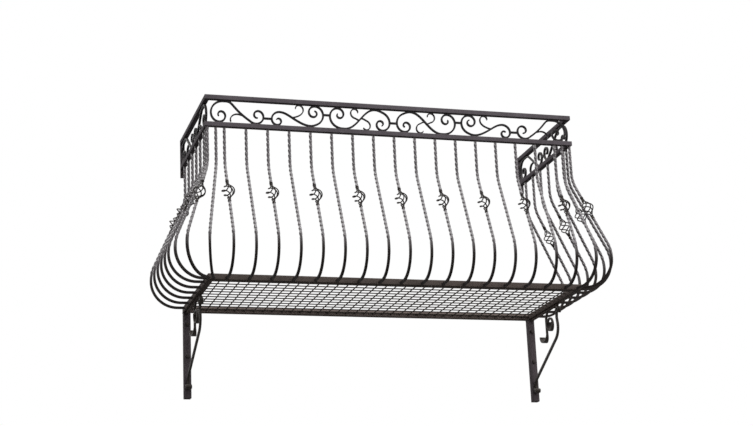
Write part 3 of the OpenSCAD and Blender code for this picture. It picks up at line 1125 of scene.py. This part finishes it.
for name in ("handrail", "lower_rail"):
    for side in ("front", "left", "right"):
        node = f"{name}_{side}"
        tube = softened(node, 2.4, 3, shortest=60)
        piece(f"{node}_tube", tube, RAIL_PAINT, "rail_paint", node)

for side in ("front", "left", "right"):
    node = f"floor_frame_{side}"
    tube = softened(node, 2.6, 3, shortest=60)
    piece(f"{node}_tube", tube, FRAME_PAINT, "bar_paint", node)
# The rear bar takes the lighter copy of the frame's paint, which is painted light
rear_bar = softened("rear_ledger", 2.6, 3, shortest=60)
piece("rear_bar_tube", rear_bar, REAR_LIT_PAINT, "bar_paint", "rear_ledger")

for side in SIDES:
    for name, stem, radius, segments, shortest, paint in (
        ("wall_flat", "wall_bar", 1.0, 2, 7, RAIL_PAINT),
        ("bracket_leg_tube", "bracket_leg", 2.6, 3, 30, LEG_PAINT),
        ("bracket_arm_bar", "bracket_arm", 1.0, 2, 8, FRAME_PAINT),
    ):
        node = f"{stem}_{side}"
        bar = softened(node, radius, segments, shortest)
        piece(f"{name}_{side}", bar, paint, "bar_paint", node)


def add_wire(wires, places, direction, side):
    """A straight round wire through its places."""
    stations = [bar_frame(Vector(place), direction, side) for place in places]
    join(wires, drawn_out(stations, lambda bm: round_section(bm, WIRE, 8)))


def half_floor(first, x_from):
    """Left half of the floor: its long wires, numbered from the middle, and on top of
    them the cross wires, which start at x_from."""
    wires = bmesh.new()
    out, across = Vector((0, 1, 0)), Vector((1, 0, 0))
    y1 = FRAME_Y - FRAME_T
    for i in range(first, LONG_WIRES + 1):
        spots = [
            (-i * WIRE_PITCH, y, LONG_Z - ORIGIN_Z) for y in (-y1, -y1 / 2, -FRAME_T)
        ]
        add_wire(wires, spots, out, across)
    x1 = FRAME_X - FRAME_T
    for j in range(CROSS_WIRES):
        y = -FIRST_CROSS - j * CROSS_PITCH
        spots = [(x, y, CROSS_Z - ORIGIN_Z) for x in (-x1, -x1 / 2, x_from)]
        add_wire(wires, spots, across, out)
    return wires


left_wires = half_floor(0, WIRE / 2)
piece("floor_wires_left", left_wires, WIRE_PAINT, "grid_paint", "floor_grid_left")
right_wires = set_out(kept(half_floor(1, -WIRE / 2)), [MIRROR])
piece("floor_wires_right", right_wires, WIRE_PAINT, "grid_paint", "floor_grid_right")


def spread_bar(line, width, from_point, soon=1.0, thinned=0.5):
    """A bar in the plane of a bracket, spread to a thin wide end from a point of its
    line on, and sooner where soon is more."""
    last = len(line) - 1
    stations = []
    for i, p in enumerate(line):
        d = (line[min(i + 1, last)] - line[max(i - 1, 0)]).normalized()
        share = min(1, max(0, soon * (i - from_point) / (last - from_point)))
        across = Vector((0, -d.y, d.x)) * (1 - share * thinned)
        wide = Vector((1 + share * (SPREAD_W / BRACE_T - 1), 0, 0))
        turn = Matrix((across, wide, Vector((0, d.x, d.y)))).transposed().to_4x4()
        place = Vector((-LEG_X, p.x, p.y - ORIGIN_Z)) * MM
        stations.append(Matrix.Translation(place) @ turn)
    return drawn_out(stations, lambda bm: section(bm, width, BRACE_T, corner=1.3))


def under_arm(bars):
    """Bars of a bracket, cut off flush under its arm."""
    bm = bmesh.new()
    for bar in bars:
        bmesh.ops.bisect_plane(
            bar,
            geom=list(bar.verts) + list(bar.edges) + list(bar.faces),
            plane_co=(0, 0, (-BRACE_T - ORIGIN_Z) * MM),
            plane_no=(0, 0, 1),
            dist=1e-6,
            clear_outer=True,
        )
        bmesh.ops.holes_fill(bar, edges=bar.edges, sides=0)
        join(bm, bar)
    return bm


# Lines of a bracket in its plane: -x is outward from the wall, and y is the height
# above the underside of the floor frame. The eye is the curl at the top of the brace.
eye_x, eye_y = -ARM_REACH, -BRACE_T - EYE_R - 2.5
hook_x = HOOK_SET - ARM_REACH
brace_x, brace_y = -LEG_T - BRACE_T / 2, BRACE_FOOT - LEG_LEN
brace_rise = bent(
    [
        (brace_x, brace_y),
        (brace_x, BRACE_FOOT + BRACE_BEND - LEG_LEN, BRACE_BEND),
        (eye_x + 0.3 * EYE_R, -BRACE_DROP, 1.5 * BRACE_BEND),
        (eye_x + 1.25 * EYE_R, eye_y - 1.55 * EYE_R),
    ]
)
hook_fall = bent(
    [
        (hook_x - HOOK_LEAN, 2 - BRACE_T),
        (hook_x, -BRACE_T - HOOK_LEAN, 1.4 * HOOK_LEAN),
        (hook_x, 1 - HOOK_DROP - HOOK_SAG),
    ]
)
eye_turns = volute((eye_x, eye_y, EYE_R, EYE_R / 3, -8, 400), 60)
toe_turns = volute(
    (brace_x - TOE_R, brace_y - TOE_DROP, TOE_R, 0.62 * TOE_R, 0, -330), 40
)
toe_line = [brace_rise[0] + Vector((0, 6))] + toe_turns
hook_turns = volute(
    (hook_x + HOOK_R, -HOOK_DROP - HOOK_SAG, HOOK_R, 0.88 * HOOK_R, 180, 178), 36
)
curl_x = hook_x - SCROLL_T + BITE - CURL_R
curl_line = volute((curl_x, -CURL_DROP, CURL_R, CURL_R / 2, 0, 420), 90)

for side in SIDES:
    brace = [
        spread_bar(brace_rise + eye_turns, BRACE_T, from_point=len(brace_rise)),
        spread_bar(toe_line, BRACE_T, from_point=3, soon=3.0),
    ]
    scroll = [
        spread_bar(hook_fall + hook_turns, SCROLL_T, len(hook_fall), 1.5, thinned=0.1),
        spread_bar(curl_line, SCROLL_T, from_point=35),
    ]
    for name, bars in (("brace", brace), ("scroll", scroll)):
        joined = under_arm(bars)
        if side == "right":
            bmesh.ops.scale(joined, vec=(-1, 1, 1), verts=joined.verts)
        piece(
            f"bracket_{name}_bar_{side}",
            joined,
            BRACKET_PAINT,
            "bar_paint",
            f"bracket_{name}_{side}",
        )


def bead(inner, outer, height):
    """A lumpy weld bead round a bar, standing up from what the bar is welded to."""
    profile = [
        (inner, -0.5),
        (outer, -0.5),
        (0.94 * outer, 0.45 * height),
        (0.7 * outer, 0.85 * height),
        (inner, height),
    ]
    if inner:
        profile.append(profile[0])
    bm = turned(profile, 14)
    for v in bm.verts:
        around = math.atan2(v.co.y, v.co.x)
        swell = 1 + 0.07 * math.sin(3 * around + 1) + 0.06 * math.sin(7 * around)
        v.co.x *= swell
        v.co.y *= swell
    return kept(bm)


# Weld beads where the bars meet the lower rail and the floor frame
top_bead = bead(inner=4.5, outer=9.4, height=4.2)
foot_bead = bead(inner=4.5, outer=9.6, height=4.6)
foot_z = FOOT_Z - 0.5
feet = [
    faced(x, -FRAME_Y, foot_z, (0, -1, 0)) for x in front_plain + front_basket
]
bar_places = [front_place(x) for x in front_plain + front_basket]
for side, sign in SIDES.items():
    for y in side_plain + side_basket:
        bar_places.append(side_place(side, y))
        feet.append(faced(sign * FRAME_X, -y, foot_z, (sign, 0, 0)))
    bar_places.append(corner_place(side))
    feet.append(faced(sign * (FRAME_X - 1.5), 1.5 - FRAME_Y, foot_z, (sign, -1, 0)))
    for in_front in (True, False):
        place, foot, _, _ = fan(side, in_front)
        bar_places.append(place)
        normal = (0, -1, 0) if in_front else (sign, 0, 0)
        feet.append(faced(foot.x, foot.y, foot_z, normal))
under_rail = Matrix.Translation((0, 0, (LOW_Z - RAIL_T) * MM))
head_down = under_rail @ Matrix.Rotation(math.pi, 4, "X")
tops = set_out(top_bead, [place @ head_down for place in bar_places])
piece("weld_beads_under_lower_rail", tops, BOLT_PAINT, "bar_paint")
piece("weld_beads_on_floor_frame", set_out(foot_bead, feet), BOLT_PAINT, "bar_paint")

# Weld beads where the floor wires end
ends = []
for i in range(-LONG_WIRES, LONG_WIRES + 1):
    ends.append(faced(i * WIRE_PITCH, -FRAME_T, LONG_Z, (0, -1, 0)))
    ends.append(faced(i * WIRE_PITCH, FRAME_T - FRAME_Y, LONG_Z, (0, 1, 0)))
for j in range(CROSS_WIRES):
    y = -FIRST_CROSS - j * CROSS_PITCH
    for sign in SIDES.values():
        ends.append(faced(sign * (FRAME_X - FRAME_T), y, CROSS_Z, (-sign, 0, 0)))
wire_ends = set_out(bead(inner=0, outer=5.4, height=3.0), ends)
piece("weld_beads_on_wire_ends", wire_ends, BOLT_PAINT, "grid_paint")


HEAD_R = 9.8
HEAD_H = 8.2
WASHER = ((0, 0), (10.9, 0), (11.2, 0.5), (10.8, 2.0), (0, 2.0))


def hex_bolt():
    """A hexagon head with chamfered corners on its washer."""
    bm = bmesh.new()
    bmesh.ops.create_circle(bm, cap_ends=True, radius=HEAD_R * MM, segments=6)
    crown = bmesh.ops.extrude_face_region(bm, geom=list(bm.faces))["geom"]
    top = [g for g in crown if isinstance(g, bmesh.types.BMVert)]
    bmesh.ops.translate(bm, verts=top, vec=(0, 0, HEAD_H * MM))
    rim = [e for e in bm.edges if all(v in top for v in e.verts)]
    rounded(bm, rim, radius=1.1, segments=2)
    join(bm, turned(WASHER, 20))
    return kept(bm)


SUNK_SCREW = (
    (0, -5),
    (2.8, -4.5),
    (2.8, -1.4),
    (3.2, -1.0),
    (4.6, -1.0),
    (5.3, -1.8),
    (5.3, -9),
    (0, -9),
)

# Heights of the bolts, as shares of the leg and of the band
LEG_BOLTS = (0.15, 0.52)
BAND_BOLT = 0.73

# Bolts in the legs and in the flat bars on the wall, and screws in the rear bar
bolt, screw = hex_bolt(), kept(turned(SUNK_SCREW, 18))
outer_hole = FRAME_X - HOLE_EDGE
anchors = bmesh.new()
for sign in SIDES.values():
    for share in LEG_BOLTS:
        add(anchors, bolt, faced(sign * LEG_X, -LEG_T, -share * LEG_LEN, (0, -1, 0)))
    for z in ((WALL_BAR_Z + LOW_Z - RAIL_T) / 2, LOW_Z + BAND_BOLT * BAND_H):
        add(anchors, bolt, faced(sign * RAIL_X, -WALL_BAR_T, z, (0, -1, 0)))
    for x in (outer_hole / 3, outer_hole):
        add(anchors, screw, faced(sign * x, -FRAME_T, FRAME_T / 2, (0, -1, 0)))
piece("anchor_bolts", anchors, BOLT_PAINT, "bar_paint")


RIPPLE = 2.2


def weld_run(points, width):
    """A rippled run of weld along points, half sunk in the joint."""
    run = measured(points)
    stations = []
    steps = max(3, round(run[-1] / RIPPLE))
    for i in range(steps + 1):
        here, direction = along(points, run, run[-1] * i / steps)
        ends = min(1, 0.5 + i / 2, 0.5 + (steps - i) / 2)
        swell = ends * (1 + 0.13 * math.sin(2.4 * i) + 0.08 * math.sin(1.1 * i + 2))
        side = Vector((1, 0, 0)) if abs(direction.x) < 0.9 else Vector((0, 1, 0))
        spot = bar_frame(here - Vector((0, 0, ORIGIN_Z)), direction, side)
        stations.append(spot @ Matrix.Scale(swell, 4))
    return drawn_out(stations, lambda bm: round_section(bm, width, 6))


# Runs of weld round the head of each leg, beside the arm and at the foot of the brace
for side, sign in SIDES.items():
    seams = bmesh.new()
    middle, half = sign * LEG_X, LEG_T / 2
    head = [(-half, 0), (-half, -LEG_T), (half, -LEG_T), (half, 0)]
    join(seams, weld_run([Vector((middle + x, y, -0.5)) for x, y in head], 5))
    for x in (middle - BRACE_T / 2, middle + BRACE_T / 2):
        beside_arm = [Vector((x, -LEG_T - 0.5, z)) for z in (-1, -BRACE_T)]
        join(seams, weld_run(beside_arm, 4.5))
        beside_foot = [Vector((x, -LEG_T, brace_y + z)) for z in (2, 34)]
        join(seams, weld_run(beside_foot, 5))
    piece(f"weld_runs_on_bracket_{side}", seams, BOLT_PAINT, "bar_paint")


def panel(name, level, direction, distance, size, colour):
    """A soft panel that gives a surface facing it this level, at which a colour renders
    as it is written."""
    aim = Vector((0, -0.45, 0.3))
    data = bpy.data.lights.new(name, "AREA")
    data.energy = level * math.pi**2 * distance**2
    data.color = colour
    data.shape = "RECTANGLE"
    data.size, data.size_y = size
    made = bpy.data.objects.new(name, data)
    made.location = aim + Vector(direction).normalized() * distance
    made.rotation_euler = (aim - made.location).to_track_quat("-Z", "Y").to_euler()
    scene.collection.objects.link(made)


panel(
    "sky_panel",
    level=1.35,
    direction=(0.15, -0.42, 0.88),
    distance=7.0,
    size=(13.0, 4.0),
    colour=(0.97, 0.985, 1.0),
)
panel(
    "right_panel",
    level=0.34,
    direction=(0.75, -0.62, 0.22),
    distance=7.5,
    size=(3.5, 3.5),
    colour=(1.0, 0.99, 0.975),
)
panel(
    "back_panel",
    level=0.2,
    direction=(-0.3, 0.8, 0.5),
    distance=7.0,
    size=(5.0, 4.0),
    colour=(1.0, 1.0, 1.0),
)


def seen_straight(f):
    """1 for rays of the camera, mirrored or not, and 0 for those that carry light."""
    rays = f.node("LightPath")
    shown = rays["Is Camera Ray"] + rays["Is Glossy Ray"] + rays["Is Transmission Ray"]
    return shown.clamped()


# Soft light from all round, brightest overhead, in front of white paper
scene.world = bpy.data.worlds.new("studio")
f = Finish(scene.world)
height = f.node("SeparateXYZ", Vector=f.node("TexCoord")["Generated"])["Z"]
level = f.ramp(height * 0.5 + 0.5, (0.48, 0.06), (0.52, 0.28), (1.0, 0.85))
studio = f.node("Background", Color=level)["Background"]
paper = f.node("Background", Color=(1, 1, 1, 1))["Background"]
f.node("OutputWorld", Surface=f.shader_blend(seen_straight(f), studio, paper))

# A pale floor far below, dim in the light that it throws back up
FLOOR_SIZE = 150
FLOOR_Z = -10.5
floor_bm = bmesh.new()
bmesh.ops.create_grid(floor_bm, x_segments=1, y_segments=1, size=FLOOR_SIZE)
bmesh.ops.translate(floor_bm, verts=floor_bm.verts, vec=(0, 0, FLOOR_Z))
floor_mesh = bpy.data.meshes.new("pale_floor")
floor_bm.to_mesh(floor_mesh)
floor_bm.free()
floor = bpy.data.objects.new("pale_floor", floor_mesh)
scene.collection.objects.link(floor)
f = Finish(bpy.data.materials.new("pale floor"))
shown = f.node("BsdfDiffuse", Color=(0.9, 0.9, 0.89, 1))["BSDF"]
dim = f.node("BsdfDiffuse", Color=(0.1, 0.1, 0.095, 1))["BSDF"]
f.node("OutputMaterial", Surface=f.shader_blend(seen_straight(f), dim, shown))
floor_mesh.materials.append(f.owner)

# The camera stands below and to the left of the balcony, at the photograph's angle
camera_data = bpy.data.cameras.new("street_view")
camera_data.sensor_width = 36.0
camera_data.lens = 79.806
camera_data.clip_start = 0.1
camera_data.clip_end = 200
camera = bpy.data.objects.new("street_view", camera_data)
scene.collection.objects.link(camera)
to_right = Vector((0.95948257, -0.27855768, -0.04241238))
to_top = Vector((-0.03973047, -0.28276813, 0.95836511))
ahead = Vector((0.27895283, 0.91784955, 0.28237832))
stand = Matrix.Translation((-2.5437, -8.72886, -2.07420 - ORIGIN_Z * MM))
turn = Matrix((to_right, to_top, -ahead)).transposed().to_4x4()
camera.matrix_world = stand @ turn
scene.camera = camera
scene.view_settings.view_transform = "Standard"

bpy.context.view_layer.update()
